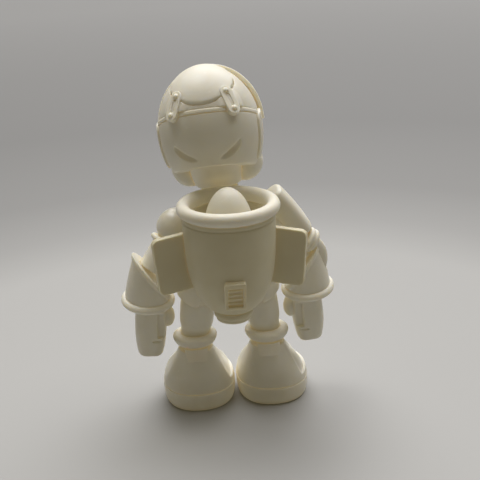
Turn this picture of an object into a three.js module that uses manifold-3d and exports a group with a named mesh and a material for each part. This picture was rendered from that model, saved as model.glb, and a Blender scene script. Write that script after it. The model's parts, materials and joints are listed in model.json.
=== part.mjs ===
// A desktop humanoid robot kit: a helmeted head, a torso with a cup-shaped jetpack, posable arms and legs.
// Millimetres, +Z up. The figure faces -Y and its left side is +X. The origin is on the ground, at the middle of
// the figure's footprint box.
import * as THREE from 'three';
import { mergeVertices } from 'three/addons/utils/BufferGeometryUtils.js';
import Module from 'manifold-3d';

const wasm = await Module();
wasm.setup();

// ---- driving dimensions ----
const GAP = 0.3; // clearance between pieces that touch
const COLUMN_Y = -10.4; // the body column stands in front of the footprint's middle
const BIG = 60; // larger than any piece, for cutting blocks

const SOLE_TOP = 8.6;
const BOOT = { x: 16.6, y: -8.2, halfWidth: 16.1, halfLength: 18.6, top: 28.5 };
const BOOT_SIDESTEP = -1.6; // both boots stand a little to the figure's right
const ANKLE = { x: 15.8, y: 0.9, z: 32.9 };
const ANKLE_RING = { radius: 7.4, tube: 2.3 };
const HIP = { x: 12.4, y: -1.5, z: 56, radius: 9.8 };
const PELVIS_HALF = 5.2;

const CHEST = { y: -4, bottom: 69.4, top: 97.2 };
const SHOULDER = { x: 20.5, y: -2, z: 83.4, radius: 8.3 };
const PEG = 2.6; // radius of the shoulder and hip pegs
const PEG_REACH = 8; // the distance from the figure's middle to the end of a shoulder peg
const PEG_BED = PEG_REACH - GAP;

const WRIST = { x: 34.9, y: -1.5, z: 51.6 };
const WRIST_RING = { radius: 9.9, tube: 1.7 };
const WRIST_PEG = { radius: 3.2, height: 7.5 };
const HAND_LENGTH = { left: 26.4, right: 24.6 };
const ELBOW = { x: 32.4, y: 1.4, z: 66 };
const ARM_RADIUS = 6.3;
const MOUTH = { inward: 0.86, forward: 0.15, height: 14.6 }; // the gauntlet's slanted upper mouth
const FOREARM_LEAN_IN = 0.08;
const FOREARM_LEAN_BACK = 0.14;

const NECK = { x: 1, y: -5.5, z: 100, radius: 10.5, post: 4.2 };
const HEAD_TURN = -0.14;
const HEAD_TILT = 0.09;
const SKULL_SHIFT = 3.5; // the skull's middle lies behind the neck's axis
const RIDGE = { height: 27.6, slope: 0.41, width: 1.9 };
const SKULL_HEM = { height: 8, slope: 0.36 }; // the skull's lower edge rises towards the back
const DOME = { height: 40.2, slope: -0.1 };
const FACE = { width: 27, height: 19, z: 19.5, back: -11.5 };
const HOOP = { outside: 2.3, inside: 1.1, depth: 4, y: -5, z: 24.4, lean: 0.3 };
const EAR = { width: 13, height: 19, y: 3.4, z: 20.5 };
const LINK = {
  half: 3.9, outer: 2.2, slot: 1, stud: 1.6, depth: 3.6, lean: 0.6, round: 0.62, reach: 20.2, z: 39.5,
};
const EYE = { radius: 4.3, x: 6.6, z: 22.6 };

const POD = { y: 27.1, bottom: 57.2, floor: 86, inner: 15.1 };
const LIP = { radius: 17.8, tube: 2.6, z: 100.7 };
const VENT = { width: 8.4, height: 12.6, z: 69.8, lean: -0.27, reach: 15.6 };
const FIN = { inner: 17, outer: 30.6, top: 90.4, bottom: 66.6, thickness: 2.6, sweep: 0.38 };

// ---- colours: one resin for everything, glossier on the lenses ----
const RESIN = { color: 0xf1ecdc, roughness: 0.45, metalness: 0 };
const RESIN_LENS = { color: 0xe9e2cc, roughness: 0.25, metalness: 0 };

// ---- solids ----
function toSolid(geometry) {
  const bare = geometry.clone();
  bare.deleteAttribute('normal');
  bare.deleteAttribute('uv');
  const merged = mergeVertices(bare, 1e-4);
  return new wasm.Manifold(new wasm.Mesh({
    numProp: 3,
    vertProperties: new Float32Array(merged.attributes.position.array),
    triVerts: new Uint32Array(merged.index.array),
  }));
}

function toGeometry(solid) {
  const data = solid.getMesh();
  const geometry = new THREE.BufferGeometry();
  geometry.setAttribute('position', new THREE.BufferAttribute(new Float32Array(data.vertProperties), 3));
  geometry.setIndex(new THREE.BufferAttribute(new Uint32Array(data.triVerts), 1));
  return geometry;
}

function combine(method, first, others) {
  let solid = toSolid(first);
  for (const other of others) {
    solid = solid[method](toSolid(other));
  }
  return toGeometry(solid);
}

const join = (first, ...others) => combine('add', first, others);
const cut = (first, ...others) => combine('subtract', first, others);
const common = (first, ...others) => combine('intersect', first, others);

function mesh(name, geometry, look = RESIN) {
  const made = new THREE.Mesh(geometry, new THREE.MeshStandardMaterial(look));
  made.name = name;
  return made;
}

// A lathe about +Z: the profile is a list of [radius, height] from the bottom to the top.
function turned(profile, segments = 20) {
  const points = profile.map(([radius, height]) => new THREE.Vector2(radius, height));
  return new THREE.LatheGeometry(points, segments).rotateX(Math.PI / 2);
}

// A stack of rounded sections, each [z, half width, half depth, middle x, middle y]. Power 2 gives ellipses.
function loft(sections, power = 2, segments = 20) {
  const steps = sections.length - 1;
  const geometry = new THREE.CylinderGeometry(1, 1, steps, segments, steps);
  const position = geometry.attributes.position;
  for (let i = 0; i < position.count; i += 1) {
    const level = Math.round(position.getY(i) + steps / 2);
    const [z, halfX, halfY, midX = 0, midY = 0] = sections[level];
    const across = position.getX(i);
    const along = -position.getZ(i);
    const x = Math.sign(across) * Math.abs(across) ** (2 / power);
    const y = Math.sign(along) * Math.abs(along) ** (2 / power);
    position.setXYZ(i, midX + halfX * x, midY + halfY * y, z);
  }
  return geometry;
}

function ball(radius, wide = 16, high = 8) {
  return new THREE.SphereGeometry(radius, wide, high).rotateX(Math.PI / 2);
}

function ring(radius, tube, around = 22, section = 6) {
  return new THREE.TorusGeometry(radius, tube, section, around);
}

function block(sizeX, sizeY, sizeZ) {
  return new THREE.BoxGeometry(sizeX, sizeY, sizeZ);
}

// A round bar between two points, with a radius at each end.
function bar(from, to, radiusFrom, radiusTo = radiusFrom, segments = 16) {
  const start = new THREE.Vector3(...from);
  const end = new THREE.Vector3(...to);
  const along = end.clone().sub(start);
  const turn = new THREE.Quaternion().setFromUnitVectors(new THREE.Vector3(0, 1, 0), along.clone().normalize());
  const middle = start.clone().add(end).multiplyScalar(0.5);
  return new THREE.CylinderGeometry(radiusTo, radiusFrom, along.length(), segments)
    .applyQuaternion(turn)
    .translate(middle.x, middle.y, middle.z);
}

// A plate with rounded corners, upright in the XZ plane, its thickness running back along +Y.
function roundedPlate(width, height, corner, thickness) {
  const outline = new THREE.Shape();
  const x = width / 2 - corner;
  const z = height / 2 - corner;
  outline.absarc(x, z, corner, 0, Math.PI / 2);
  outline.absarc(-x, z, corner, Math.PI / 2, Math.PI);
  outline.absarc(-x, -z, corner, Math.PI, Math.PI * 1.5);
  outline.absarc(x, -z, corner, Math.PI * 1.5, Math.PI * 2);
  outline.closePath();
  const plate = new THREE.ExtrudeGeometry(outline, { depth: thickness, bevelEnabled: false, curveSegments: 3 });
  return plate.rotateX(Math.PI / 2).translate(0, thickness, 0);
}

// The half space in front of a plane y = limit, or behind it.
const inFrontOf = (limit) => block(BIG * 2, BIG * 2, BIG * 4).translate(0, limit - BIG, 0);
const behind = (limit) => block(BIG * 2, BIG * 2, BIG * 4).translate(0, limit + BIG, 0);

// Turns a piece made for the left side into the one for the given side.
function sided(geometry, side) {
  if (side > 0) {
    return geometry;
  }
  const solid = toSolid(geometry).mirror([1, 0, 0]);
  return toGeometry(solid);
}

const word = (side) => (side > 0 ? 'left' : 'right');

// ---- head: built upright about the neck's pivot ----
function headForm(grow = 0) {
  const levels = 12;
  const sections = [];
  for (let i = 0; i <= levels; i += 1) {
    const angle = -1.18 + ((Math.PI / 2 - 0.06 + 1.18) * i) / levels;
    const lift = Math.sin(angle);
    const upper = lift > 0;
    const halfX = 20.9 * Math.cos(angle) ** (upper ? 1.12 : 0.42);
    const halfY = 21.8 * Math.cos(angle) ** (upper ? 1.05 : 0.9);
    const z = 25.6 + lift * (upper ? 25 : 21.6);
    sections.push([z + Math.sign(lift) * grow, halfX + grow, halfY + grow, 0, SKULL_SHIFT]);
  }
  return loft(sections, 2.1, 24);
}

// Everything above a plane that slopes up towards the back.
function above(height, slope) {
  return block(BIG * 2, BIG * 2, BIG * 2).translate(0, 0, BIG).rotateX(slope).translate(0, SKULL_SHIFT, height);
}

function below(height, slope) {
  return block(BIG * 2, BIG * 2, BIG * 2).translate(0, 0, -BIG).rotateX(slope).translate(0, SKULL_SHIFT, height);
}

function facePrism() {
  return roundedPlate(FACE.width, FACE.height, 6, BIG).translate(0, FACE.back - BIG, FACE.z);
}

function eyeDisc(side, radius, depth) {
  const profile = [[0, 0], [radius, 0], [radius, depth * 0.5], [radius * 0.75, depth * 0.85], [0, depth]];
  return turned(profile, 20).rotateX(Math.PI / 2).rotateZ(side * 0.3).translate(side * EYE.x, -14.2, EYE.z);
}

// The guard widens and leans back as it rises, so that it comes out flush under the skull's back.
function neckGuard(grow = 0) {
  const radius = NECK.radius;
  return loft([
    [1 - grow, radius - 0.8, radius - 0.8], [2, radius, radius], [4, radius + 0.2, radius + 0.8, 0, 0.6],
    [8, radius + 0.5, radius + 3, 0, 2.4], [14.5 + grow, radius + 0.7, radius + 5.2, 0, 4.5],
  ].map(([z, halfX, halfY, x, y]) => [z, halfX + grow, halfY + grow, x, y]), 2.1, 24);
}

function jawLobe(side, grow = 0) {
  return ball(1).scale(6.6 + grow, 8.2 + grow, 7.2 + grow).rotateY(side * 0.35).translate(side * 12, -3, 7.6);
}

function earPanel(side, grow = 0) {
  const plate = roundedPlate(EAR.width + 2 * grow, EAR.height + 2 * grow, 3.5, 5).rotateZ(side * (Math.PI / 2));
  return plate.translate(side * 22.2, EAR.y, EAR.z);
}

function scoop(side) {
  const hollow = ball(1, 12, 8).scale(5.6, 3.6, 2.4).rotateY(side * 0.62);
  return hollow.rotateZ(-side * 0.42).translate(side * 9.4, SKULL_SHIFT + 20, 18.8);
}

function strapLink(side) {
  const shape = (half, radius) => {
    const outline = new THREE.Shape();
    outline.absarc(0, half, radius, 0, Math.PI);
    outline.absarc(0, -half, radius, Math.PI, Math.PI * 2);
    outline.closePath();
    return outline;
  };
  const outline = shape(LINK.half, LINK.outer);
  outline.holes.push(shape(LINK.half, LINK.slot));
  const loop = new THREE.ExtrudeGeometry(outline, { depth: LINK.depth, bevelEnabled: false, curveSegments: 3 })
    .rotateX(Math.PI / 2);
  const studs = [1, -1].map((end) => ball(LINK.stud, 8, 6).translate(0, -1, end * LINK.half));
  return join(loop, ...studs)
    .rotateX(LINK.lean)
    .translate(0, LINK.reach, LINK.z)
    .rotateZ(-side * LINK.round)
    .translate(0, SKULL_SHIFT, 0);
}

// A narrow hoop that stands clear of the helmet, from one temple over the forehead to the other.
function visorHoop() {
  const slab = block(BIG * 2, HOOP.depth, BIG)
    .translate(0, 0, BIG / 2)
    .rotateX(HOOP.lean)
    .translate(0, HOOP.y, HOOP.z);
  return cut(common(headForm(HOOP.outside), slab), headForm(HOOP.inside));
}

function makeHead() {
  const group = new THREE.Group();
  group.position.set(NECK.x, NECK.y, NECK.z);
  group.rotation.set(0, HEAD_TILT, HEAD_TURN, 'YZX');
  const face = common(headForm(GAP), facePrism());
  const ears = [1, -1].map((side) => earPanel(side, GAP));
  const lobes = [1, -1].map((side) => jawLobe(side, GAP));

  const hem = below(SKULL_HEM.height, SKULL_HEM.slope);
  const lower = cut(headForm(), above(RIDGE.height, RIDGE.slope), hem, neckGuard(GAP));
  group.add(mesh('skull_shell', cut(lower, face, ...ears, ...lobes, scoop(1), scoop(-1))));

  const ridgeSlice = cut(above(RIDGE.height + GAP, RIDGE.slope), above(RIDGE.height + RIDGE.width, RIDGE.slope));
  group.add(mesh('helmet_ridge', cut(common(headForm(0.5), ridgeSlice), face, facePrism(), ...ears)));

  const bandSlice = cut(above(RIDGE.height + RIDGE.width + GAP, RIDGE.slope), above(DOME.height - GAP, DOME.slope));
  group.add(mesh('helmet_band', cut(common(headForm(-0.8), bandSlice), facePrism(), ...ears)));
  group.add(mesh('dome_cap', common(headForm(0.2), above(DOME.height, DOME.slope))));

  for (const side of [1, -1]) {
    group.add(mesh(`strap_link_${word(side)}`, cut(strapLink(side), headForm(0.2 + GAP))));
    group.add(mesh(`ear_panel_${word(side)}`, cut(
      common(earPanel(side), headForm(0.9)),
      headForm(-2),
      jawLobe(side, GAP),
    )));
    group.add(mesh(`jaw_lobe_${word(side)}`, cut(jawLobe(side), neckGuard(GAP), face)));
  }
  group.add(mesh('visor_hoop', visorHoop()));

  const mouth = roundedPlate(9, 2.8, 1.2, 6).translate(0, -21, 13.4);
  const mouthBed = roundedPlate(9.6, 3.4, 1.5, 9).translate(0, -23, 13.4);
  const skin = cut(common(headForm(0.3), facePrism()), behind(FACE.back - GAP));
  const eyeBeds = [1, -1].map((side) => eyeDisc(side, EYE.radius + GAP, 12));
  group.add(mesh('face_plate', cut(skin, ...eyeBeds, mouthBed)));
  group.add(mesh('mouth_vent', common(mouth, headForm(0.6), inFrontOf(-14.4))));
  for (const side of [1, -1]) {
    group.add(mesh(`eye_lens_${word(side)}`, eyeDisc(side, EYE.radius, 4.6).translate(0, -GAP, 0), RESIN_LENS));
  }
  const postBore = bar([0, 0, -2], [0, 0, 9], NECK.post + GAP, NECK.post + GAP);
  group.add(mesh('neck_guard', cut(neckGuard(), postBore)));
  return group;
}

// ---- torso ----
function chestForm() {
  return loft([
    [CHEST.bottom, 14.6, 9.6], [73, 16.4, 10.8], [79, 17.4, 11.3], [86, 17.2, 11.2],
    [91.5, 15.2, 10.4], [95.5, 11.8, 8.8], [CHEST.top, 9.4, 7.4],
  ], 2.5, 24);
}

// The post stands square to the tilted head, which turns on it.
function neckPost(grow = 0) {
  const post = bar([0, 0, -10 - grow], [0, 0, 8 + grow], NECK.post + grow);
  return post.rotateY(HEAD_TILT).translate(NECK.x, NECK.y, NECK.z);
}

function makeTorso() {
  const group = new THREE.Group();
  const sockets = [1, -1].flatMap((side) => [
    ball(SHOULDER.radius + GAP, 16, 10).translate(side * SHOULDER.x, SHOULDER.y, SHOULDER.z),
    bar([side * SHOULDER.x, SHOULDER.y, SHOULDER.z], [side * PEG_BED, SHOULDER.y, SHOULDER.z], PEG + GAP),
  ]);
  const podPegs = [1, -1].map((side) => podPeg(side, GAP));
  const chest = cut(chestForm().translate(0, CHEST.y, 0), ...sockets, ...podPegs);
  group.add(mesh('chest_shell', cut(chest, neckPost(GAP))));
  group.add(mesh('neck_post', neckPost()));
  group.add(mesh('collar_ring', ring(7, 1).translate(NECK.x, NECK.y, 98.6)));
  group.add(mesh('waist_belt', loft([
    [66.8, 14.6, 9.6], [67.2, 15.4, 10.4], [68.7, 15.4, 10.4], [69.1, 14.6, 9.6],
  ], 2.5, 24).translate(0, CHEST.y, 0)));
  const hipBores = bar([-12, HIP.y, HIP.z], [12, HIP.y, HIP.z], PEG + GAP);
  const core = loft([
    [47, 3.2, 6], [48.5, 4.4, 8], [54, PELVIS_HALF, 9.4], [62, PELVIS_HALF, 9.6], [66.5, PELVIS_HALF, 9.4],
  ], 2.6).translate(0, -2.5, 0);
  group.add(mesh('pelvis_core', cut(core, hipBores)));
  return group;
}

// ---- jetpack ----
function podPeg(side, grow = 0) {
  const base = [side * 7, POD.y - 14, 80];
  return bar([side * 7, 4 - grow, 80], base, 2 + grow, 2 + grow, 16);
}

const POD_OUTLINE = [
  [6.5, POD.bottom], [8.4, 57.8], [10.6, 59.6], [13, 62.6], [15.2, 67], [16.8, 72.6], [17.7, 79], [18.1, 86],
  [18.4, 95.2],
];

function podForm(grow = 0) {
  const outline = POD_OUTLINE.map(([radius, z]) => [radius + grow, z]);
  return turned([[0, POD.bottom - grow], ...outline, [18.4 + grow, 99], [0, 99]], 28);
}

function makeJetpack() {
  const group = new THREE.Group();
  group.position.y = POD.y;
  const wall = turned([
    [0, POD.bottom], ...POD_OUTLINE, [17.6, 95.8], [17.6, 96.6], [18.4, 97.2], [18.2, 97.8], [POD.inner, 97.8],
    [POD.inner - 0.3, POD.floor], [0, POD.floor],
  ], 28);
  const pegs = [1, -1].map((side) => podPeg(side).translate(0, -POD.y, 0));
  group.add(mesh('jetpack_pod', join(wall, ...pegs)));
  group.add(mesh('jetpack_lip', cut(
    ring(LIP.radius, LIP.tube, 28, 8).translate(0, 0, LIP.z),
    turned([[0, 90], [19, 90], [19, 97.8 + GAP], [0, 97.8 + GAP]], 28),
  )));
  group.add(mesh('intake_cone', turned([
    [0, POD.floor + GAP], [9.4, POD.floor + GAP], [9.5, 90], [9.3, 94], [8.7, 98], [7.6, 101.6], [6, 104.6],
    [4, 106.8], [2, 107.8], [0, 108.1],
  ])));
  group.add(mesh('nozzle_ring', turned([
    [0, 54.8], [4.6, 54.8], [4.8, 52.8], [6.6, 52.8], [7.1, 53.4], [7.1, 54.3], [7.7, 54.8], [7.9, 55.8],
    [7.6, POD.bottom - GAP], [0, POD.bottom - GAP],
  ])));

  const place = (geometry) => geometry.rotateX(VENT.lean).translate(0, VENT.reach, VENT.z);
  const frame = cut(
    roundedPlate(VENT.width, VENT.height, 1, 6).translate(0, -4, 0),
    roundedPlate(VENT.width - 2.6, VENT.height - 3.4, 0.5, 10).translate(0, -6, -0.5),
  );
  group.add(mesh('vent_frame', cut(place(frame), podForm(GAP))));
  const slatWidth = VENT.width - 3.2;
  const slats = [-3, -1, 1, 3].map((z) => block(slatWidth, 3.4, 1.1).translate(0, -0.5, z - 0.5));
  const louvre = join(block(slatWidth, 2.8, VENT.height - 4).translate(0, -0.8, -0.5), ...slats);
  group.add(mesh('vent_louvre', cut(place(louvre), podForm(GAP))));

  for (const side of [1, -1]) {
    const height = FIN.top - FIN.bottom;
    const fin = roundedPlate(FIN.outer - FIN.inner + 4, height, 2.6, FIN.thickness);
    fin.translate((FIN.outer - FIN.inner) / 2 - 2, -FIN.thickness / 2, 0).rotateY(0.08).rotateZ(FIN.sweep);
    fin.translate(FIN.inner, -2, (FIN.top + FIN.bottom) / 2);
    group.add(mesh(`fin_${word(side)}`, sided(cut(fin, podForm(GAP)), side)));
  }
  return group;
}

// ---- arms ----
const forearmFrame = (geometry) => geometry
  .rotateX(-FOREARM_LEAN_BACK)
  .rotateY(-FOREARM_LEAN_IN)
  .translate(WRIST.x, WRIST.y, WRIST.z);

function shoulderBall(side) {
  const centre = [SHOULDER.x, SHOULDER.y, SHOULDER.z];
  const peg = bar(centre, [PEG_REACH, SHOULDER.y, SHOULDER.z], PEG);
  const dome = ball(SHOULDER.radius, 16, 10).translate(...centre);
  return sided(cut(join(dome, peg), armBar(GAP)), side);
}

// The upper arm leaves the shoulder ball and ends inside the gauntlet.
const ARM_TOP = [SHOULDER.x + 3.4, SHOULDER.y + 0.4, SHOULDER.z - 6.2];

function armBar(grow = 0) {
  return bar(ARM_TOP, [ELBOW.x, ELBOW.y, ELBOW.z], ARM_RADIUS + grow, ARM_RADIUS - 0.4 + grow);
}

// Places a piece made about +Z square to the upper arm, at a distance down from its top.
function acrossArm(geometry, distance) {
  const top = new THREE.Vector3(...ARM_TOP);
  const axis = new THREE.Vector3(ELBOW.x, ELBOW.y, ELBOW.z).sub(top).normalize();
  const turn = new THREE.Quaternion().setFromUnitVectors(new THREE.Vector3(0, 0, -1), axis);
  const place = top.addScaledVector(axis, distance);
  return geometry.applyQuaternion(turn).translate(place.x, place.y, place.z);
}

function gauntlet(side, hollows) {
  const cone = turned([[0, -0.6], [9.2, -0.6], [9.9, 2.2], [9.2, 7], [7.9, 14], [6.6, 20.5], [6, 24.5], [0, 24.5]]);
  const slant = block(BIG, BIG, BIG)
    .translate(0, 0, BIG / 2)
    .rotateY(-MOUTH.inward)
    .rotateX(MOUTH.forward)
    .translate(0, 0, MOUTH.height);
  const pegBore = bar([0, 0, -3], [0, 0, WRIST_PEG.height + GAP], WRIST_PEG.radius + GAP);
  const ringBed = turned([[8.9, -3], [14, -3], [14, 1.9], [8.9, 1.9], [8.9, -3]]);
  return sided(cut(forearmFrame(cut(cone, slant, pegBore, ringBed)), ...hollows), side);
}

function handForm(length) {
  const palm = loft([
    [-length, 4.4, 5.2], [0.8 - length, 5.6, 6.4], [6.4 - length, 6.5, 7.5], [-12, 6.9, 7.9], [-6, 6.6, 7.4],
    [-1.2, 5.8, 6],
  ], 2.9);
  const thumb = ball(1, 16, 10).scale(2.8, 3.2, 4.6).rotateY(0.15).translate(-7.6, -2.4, -11.4);
  const peg = bar([0, 0, -3], [0, 0, WRIST_PEG.height], WRIST_PEG.radius);
  return join(palm.translate(-1.2, 0, 0), thumb.translate(-1, 0, 0), peg);
}

function makeLeftArm() {
  const group = new THREE.Group();
  group.add(mesh('shoulder_ball_left', shoulderBall(1)));
  group.add(mesh('upper_arm_left', armBar()));
  const collar = acrossArm(ring(6.7, 1.2), 1.6);
  group.add(mesh('shoulder_ring_left', cut(collar, armBar(GAP))));
  return group;
}

function makeForearm(side, hollows) {
  const group = new THREE.Group();
  const name = word(side);
  const cuff = forearmFrame(cut(ring(WRIST_RING.radius, WRIST_RING.tube, 24, 8), turned([
    [0, -3], [9.2 + GAP, -3], [9.2 + GAP, 3], [0, 3],
  ])));
  group.add(mesh(`gauntlet_${name}`, gauntlet(side, hollows)));
  group.add(mesh(`cuff_ring_${name}`, sided(cuff, side)));
  group.add(mesh(`hand_${name}`, sided(forearmFrame(handForm(HAND_LENGTH[name])), side)));
  return group;
}

// ---- right arm: a slanted shoulder plate and a hose that bows out round the elbow ----
const HOSE_RADIUS = 3.1;
const HOSE_PATH = [[33.6, 3.6, 76.2], [37.2, 3, 73.6], [39.8, 1.8, 69.4], [40.4, 0.8, 65], [39.8, 0.2, 61]];

function elbowHose(grow = 0) {
  const radius = HOSE_RADIUS + grow;
  const path = new THREE.CatmullRomCurve3(HOSE_PATH.map((point) => new THREE.Vector3(...point)));
  const section = new THREE.Shape();
  section.absarc(0, 0, radius, 0, Math.PI * 2);
  return new THREE.ExtrudeGeometry(section, { steps: 9, extrudePath: path, bevelEnabled: false, curveSegments: 5 });
}

function shoulderPlate() {
  return loft([
    [-11.8, 3.6, 5.6], [-11, 4.6, 6.6], [-4, 5.2, 7.2], [5, 5, 7], [10.4, 4.2, 6.2], [11.2, 3.4, 5.4],
  ], 3.2, 20).rotateY(-0.62).translate(26.4, SHOULDER.y + 3, 87.8);
}

// Two rolled rings round the hose's upper end.
function hoseFerrule() {
  const start = new THREE.Vector3(...HOSE_PATH[0]);
  const along = new THREE.Vector3(...HOSE_PATH[1]).sub(start).normalize();
  const turn = new THREE.Quaternion().setFromUnitVectors(new THREE.Vector3(0, 0, 1), along);
  const [first, second] = [0.9, 2.7].map((distance) => {
    const place = start.clone().addScaledVector(along, distance);
    return ring(HOSE_RADIUS + 1, 1.3, 20, 8).applyQuaternion(turn).translate(place.x, place.y, place.z);
  });
  return join(first, second);
}

function makeRightArm() {
  const group = new THREE.Group();
  const dome = ball(SHOULDER.radius + GAP, 16, 10).translate(SHOULDER.x, SHOULDER.y, SHOULDER.z);
  group.add(mesh('shoulder_ball_right', shoulderBall(-1)));
  group.add(mesh('upper_arm_right', sided(armBar(), -1)));
  group.add(mesh('shoulder_plate_right', sided(cut(shoulderPlate(), dome, armBar(GAP)), -1)));
  const hose = cut(elbowHose(), armBar(GAP), shoulderPlate());
  group.add(mesh('elbow_hose_right', sided(hose, -1)));
  const ferrule = cut(hoseFerrule(), elbowHose(GAP), armBar(GAP), shoulderPlate());
  group.add(mesh('hose_ferrule_right', sided(ferrule, -1)));
  return group;
}

// ---- legs ----
const LEG_LEAN = -Math.atan2(ANKLE.x - HIP.x, HIP.z - ANKLE.z);

function hipTrunk(side) {
  const upper = turned([
    [0, PELVIS_HALF + GAP], [HIP.radius - 0.6, PELVIS_HALF + GAP], [HIP.radius, PELVIS_HALF + 1],
    [HIP.radius, 13], [HIP.radius - 1.6, 18], [HIP.radius - 5, 20.6], [0, 21.4],
  ]).rotateY(Math.PI / 2).translate(0, HIP.y, HIP.z);
  const leg = loft([[-15, 8.2, 8.4], [-8, 8.6, 9.4], [0, 8.6, HIP.radius - 0.3]], 2.2)
    .rotateY(LEG_LEAN).translate(HIP.x + 1, HIP.y, HIP.z);
  const hem = block(BIG, BIG, BIG).translate(0, 0, -BIG / 2).rotateY(-0.55).translate(HIP.x + 1.6, 0, 48.6);
  const peg = bar([0.4, HIP.y, HIP.z], [8, HIP.y, HIP.z], PEG);
  const inner = block(BIG, BIG, BIG).translate(-BIG / 2 + PELVIS_HALF + GAP, 0, 40);
  const body = cut(join(upper, leg), hem, inner, thigh(GAP));
  return sided(join(body, peg), side);
}

function thigh(grow = 0) {
  const length = Math.hypot(ANKLE.x - HIP.x, HIP.z - ANKLE.z);
  return loft([
    [-length - 0.4, 6.2, 6.4], [-length + 4, 6.4, 6.8], [-16, 7.2, 7.8], [-8, 7.6, 8.4], [-5 + grow, 7, 7.8],
  ].map(([z, halfX, halfY]) => [z, halfX + grow, halfY + grow]), 2.1)
    .rotateY(LEG_LEAN).translate(HIP.x, HIP.y + 1, HIP.z);
}

// One boot between two heights; it narrows and moves under the ankle as it rises.
function boot(side, bottom, top, grow = 0) {
  const rows = [
    [0, 0.9], [0.8, 0.945], [2.4, 0.975], [5, 0.995], [SOLE_TOP, 1], [12.4, 0.96], [17, 0.845], [21, 0.69],
    [24.5, 0.56], [27, 0.495], [BOOT.top, 0.47], [40, 0.46],
  ];
  const inside = rows.filter(([z]) => z > bottom + 0.1 && z < top - 0.1);
  const at = (z) => {
    const next = rows.findIndex(([height]) => height >= z);
    const [z1, s1] = rows[Math.max(next, 1)];
    const [z0, s0] = rows[Math.max(next, 1) - 1];
    return s0 + ((s1 - s0) * (z - z0)) / (z1 - z0);
  };
  const levels = [[bottom, at(bottom)], ...inside, [top, at(top)]];
  const neckShift = ANKLE.y - BOOT.y;
  return loft(levels.map(([z, scale]) => {
    const narrowing = (1 - scale) / (1 - 0.47);
    const halfWidth = BOOT.halfWidth * scale + grow;
    const halfLength = BOOT.halfLength * (scale - 0.06 * narrowing) + grow;
    const midX = side * (BOOT.x + (ANKLE.x - BOOT.x) * narrowing) + BOOT_SIDESTEP * (1 - narrowing);
    return [z, halfWidth, halfLength, midX, BOOT.y + neckShift * narrowing ** 0.8];
  }), 2.3, 24);
}

function heelTab() {
  const plate = new THREE.Shape();
  plate.moveTo(-5, 3);
  plate.lineTo(5, 3);
  plate.lineTo(3.4, -2.4);
  plate.lineTo(-3.4, -2.4);
  plate.closePath();
  const slab = new THREE.ExtrudeGeometry(plate, { depth: 8, bevelEnabled: false }).rotateX(Math.PI / 2);
  return slab.rotateX(0.5).translate(ANKLE.x, 14.6, 27.6);
}

function makeLeg(side) {
  const group = new THREE.Group();
  const name = word(side);
  const cuff = ring(ANKLE_RING.radius, ANKLE_RING.tube).translate(ANKLE.x, ANKLE.y, ANKLE.z);
  const tab = common(sided(heelTab(), side), boot(side, SOLE_TOP + GAP, BOOT.top + 2, 0.9));
  group.add(mesh(`hip_trunk_${name}`, hipTrunk(side)));
  group.add(mesh(`thigh_${name}`, cut(sided(thigh(), side), boot(side, SOLE_TOP, BOOT.top + GAP, GAP))));
  group.add(mesh(`ankle_cuff_${name}`, sided(cut(cuff, thigh(GAP)), side)));
  group.add(mesh(`boot_upper_${name}`, boot(side, SOLE_TOP + GAP, BOOT.top)));
  group.add(mesh(`heel_tab_${name}`, cut(tab, boot(side, SOLE_TOP, BOOT.top + 3, GAP))));
  group.add(mesh(`boot_sole_${name}`, boot(side, 0, SOLE_TOP)));
  return group;
}

const figure = new THREE.Group();
figure.position.y = COLUMN_Y;
figure.add(makeHead(), makeTorso(), makeJetpack());
figure.add(makeLeftArm(), makeForearm(1, [armBar(GAP)]));
figure.add(makeRightArm(), makeForearm(-1, [armBar(GAP), elbowHose(GAP)]));
figure.add(makeLeg(1), makeLeg(-1));
export default figure;
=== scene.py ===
"""The looks of the humanoid robot kit: soft-edged, slightly translucent off-white resin, seen from behind.

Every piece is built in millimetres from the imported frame's joints and boxes, softened where a cast piece
has soft edges, and then put into metres. Each piece stands for one CAD node and rides on that node's body.
"""
import json
import math

import bpy
import numpy as np
from mathutils import Matrix, Vector


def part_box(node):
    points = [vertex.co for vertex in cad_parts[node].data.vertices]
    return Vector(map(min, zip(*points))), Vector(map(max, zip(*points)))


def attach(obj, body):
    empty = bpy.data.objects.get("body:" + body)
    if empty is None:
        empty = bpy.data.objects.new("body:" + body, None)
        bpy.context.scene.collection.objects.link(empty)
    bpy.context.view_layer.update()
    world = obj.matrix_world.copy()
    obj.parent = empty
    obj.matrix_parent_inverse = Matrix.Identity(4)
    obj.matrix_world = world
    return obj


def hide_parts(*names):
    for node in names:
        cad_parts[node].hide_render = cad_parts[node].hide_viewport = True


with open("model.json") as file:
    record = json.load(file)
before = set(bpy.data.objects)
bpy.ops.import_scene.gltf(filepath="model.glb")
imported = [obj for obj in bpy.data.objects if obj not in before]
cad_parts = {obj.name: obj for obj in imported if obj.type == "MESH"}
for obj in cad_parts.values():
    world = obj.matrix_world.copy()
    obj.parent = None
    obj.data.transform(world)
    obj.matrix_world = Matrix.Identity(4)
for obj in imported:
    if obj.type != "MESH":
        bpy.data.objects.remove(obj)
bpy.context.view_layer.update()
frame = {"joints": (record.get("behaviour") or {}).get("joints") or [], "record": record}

# ---- the frame, in millimetres ----
MM = 0.001
JOINTS = {joint["name"]: joint for joint in frame["joints"]}
BODY_OF = {node: body for body, nodes in frame["record"]["behaviour"]["bodies"].items() for node in nodes}
SIDES = {"left": 1, "right": -1}


def joint_place(name):
    return np.array(JOINTS[name]["pos_m"]) / MM


def joint_axis(name):
    return Vector(JOINTS[name]["axis"]).normalized()


def node_middle(cad_node):
    low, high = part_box(cad_node)
    return (np.array(low) + np.array(high)) / 2 / MM


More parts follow.
